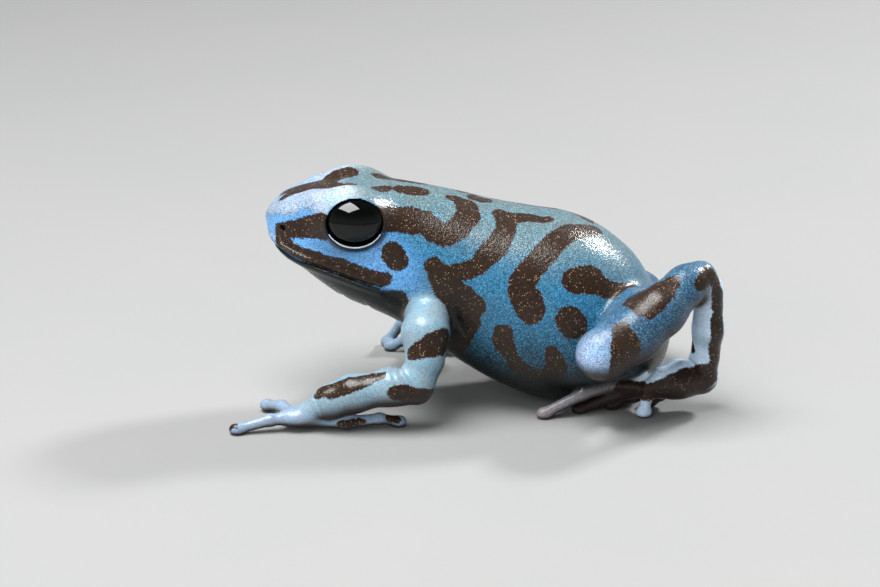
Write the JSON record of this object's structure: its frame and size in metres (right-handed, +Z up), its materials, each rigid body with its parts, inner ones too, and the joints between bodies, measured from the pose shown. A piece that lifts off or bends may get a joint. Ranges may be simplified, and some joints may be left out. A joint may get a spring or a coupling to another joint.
{
  "type": "poison dart frog model",
  "caption": "Still, life-size model of a poison dart frog in its blue and dark brown form, crouched on its hands, feet and belly with the head raised",
  "frame": {"origin": "the middle of the bounding box, at the level of the floor that the frog rests on", "axes": "+Z up; the frog faces -X, and its left side is towards -Y"},
  "size_m": [0.0446, 0.0288, 0.0209],
  "materials": {
    "skin": "moist, finely granular skin, blue with dark brown bands and spots",
    "eye": "wet, nearly black, mirror-smooth"
  },
  "bodies": {
    "root": {"head": "skin", "torso": "skin", "eye_left": "eye", "eye_right": "eye", "upper_arm_left": "skin", "upper_arm_right": "skin", "forearm_left": "skin", "forearm_right": "skin", "hand_left": "skin", "hand_right": "skin", "thigh_left": "skin", "thigh_right": "skin", "shank_left": "skin", "shank_right": "skin", "tarsus_left": "skin", "tarsus_right": "skin", "foot_left": "skin", "foot_right": "skin"}
  },
  "joints": []
}
